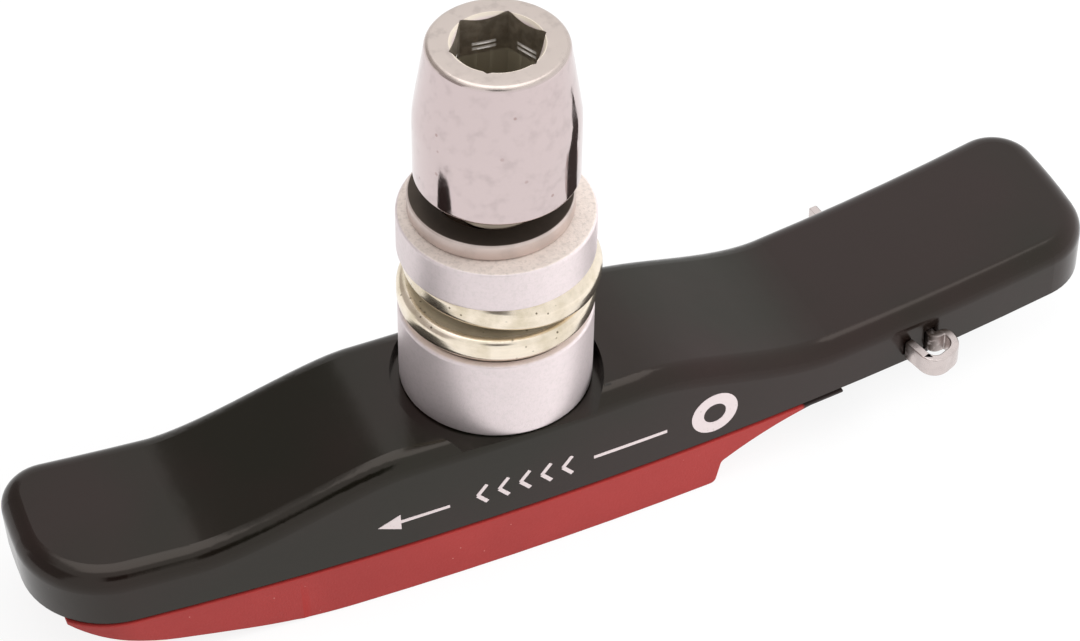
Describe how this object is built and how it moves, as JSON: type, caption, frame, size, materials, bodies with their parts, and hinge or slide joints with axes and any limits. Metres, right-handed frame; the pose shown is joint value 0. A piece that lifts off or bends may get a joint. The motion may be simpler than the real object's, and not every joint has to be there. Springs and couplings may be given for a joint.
{
  "type": "bicycle rim brake pad",
  "caption": "Curved cartridge brake pad for a bicycle rim brake: humped black carrier, red friction insert, post with ball seated washers and a barrel nut, retaining pin.",
  "frame": {"origin": "on the friction face, below the middle of the post's seat", "axes": "-Z out of the friction face towards the rim, +X along the pad towards its trailing end, -Y towards the outer, convex edge"},
  "size_m": [0.073, 0.0165, 0.0361],
  "materials": {
    "carrier_black": "gloss black",
    "insert_red": "moulded, satin",
    "pin_steel": "bright",
    "post_steel": "plated",
    "cup_silver": "turned, satin",
    "dome_zinc": "yellow zinc",
    "washer_steel": "stamped",
    "nut_chrome": "bright plated"
  },
  "bodies": {
    "root": {"shoe_carrier": "carrier_black", "friction_insert": "insert_red", "retaining_pin": "pin_steel", "threaded_post": "post_steel", "lower_cup_washer": "cup_silver", "lower_dome_washer": "dome_zinc", "upper_dome_washer": "dome_zinc", "upper_cup_washer": "cup_silver", "flat_washer": "washer_steel", "barrel_nut": "nut_chrome"}
  },
  "joints": []
}
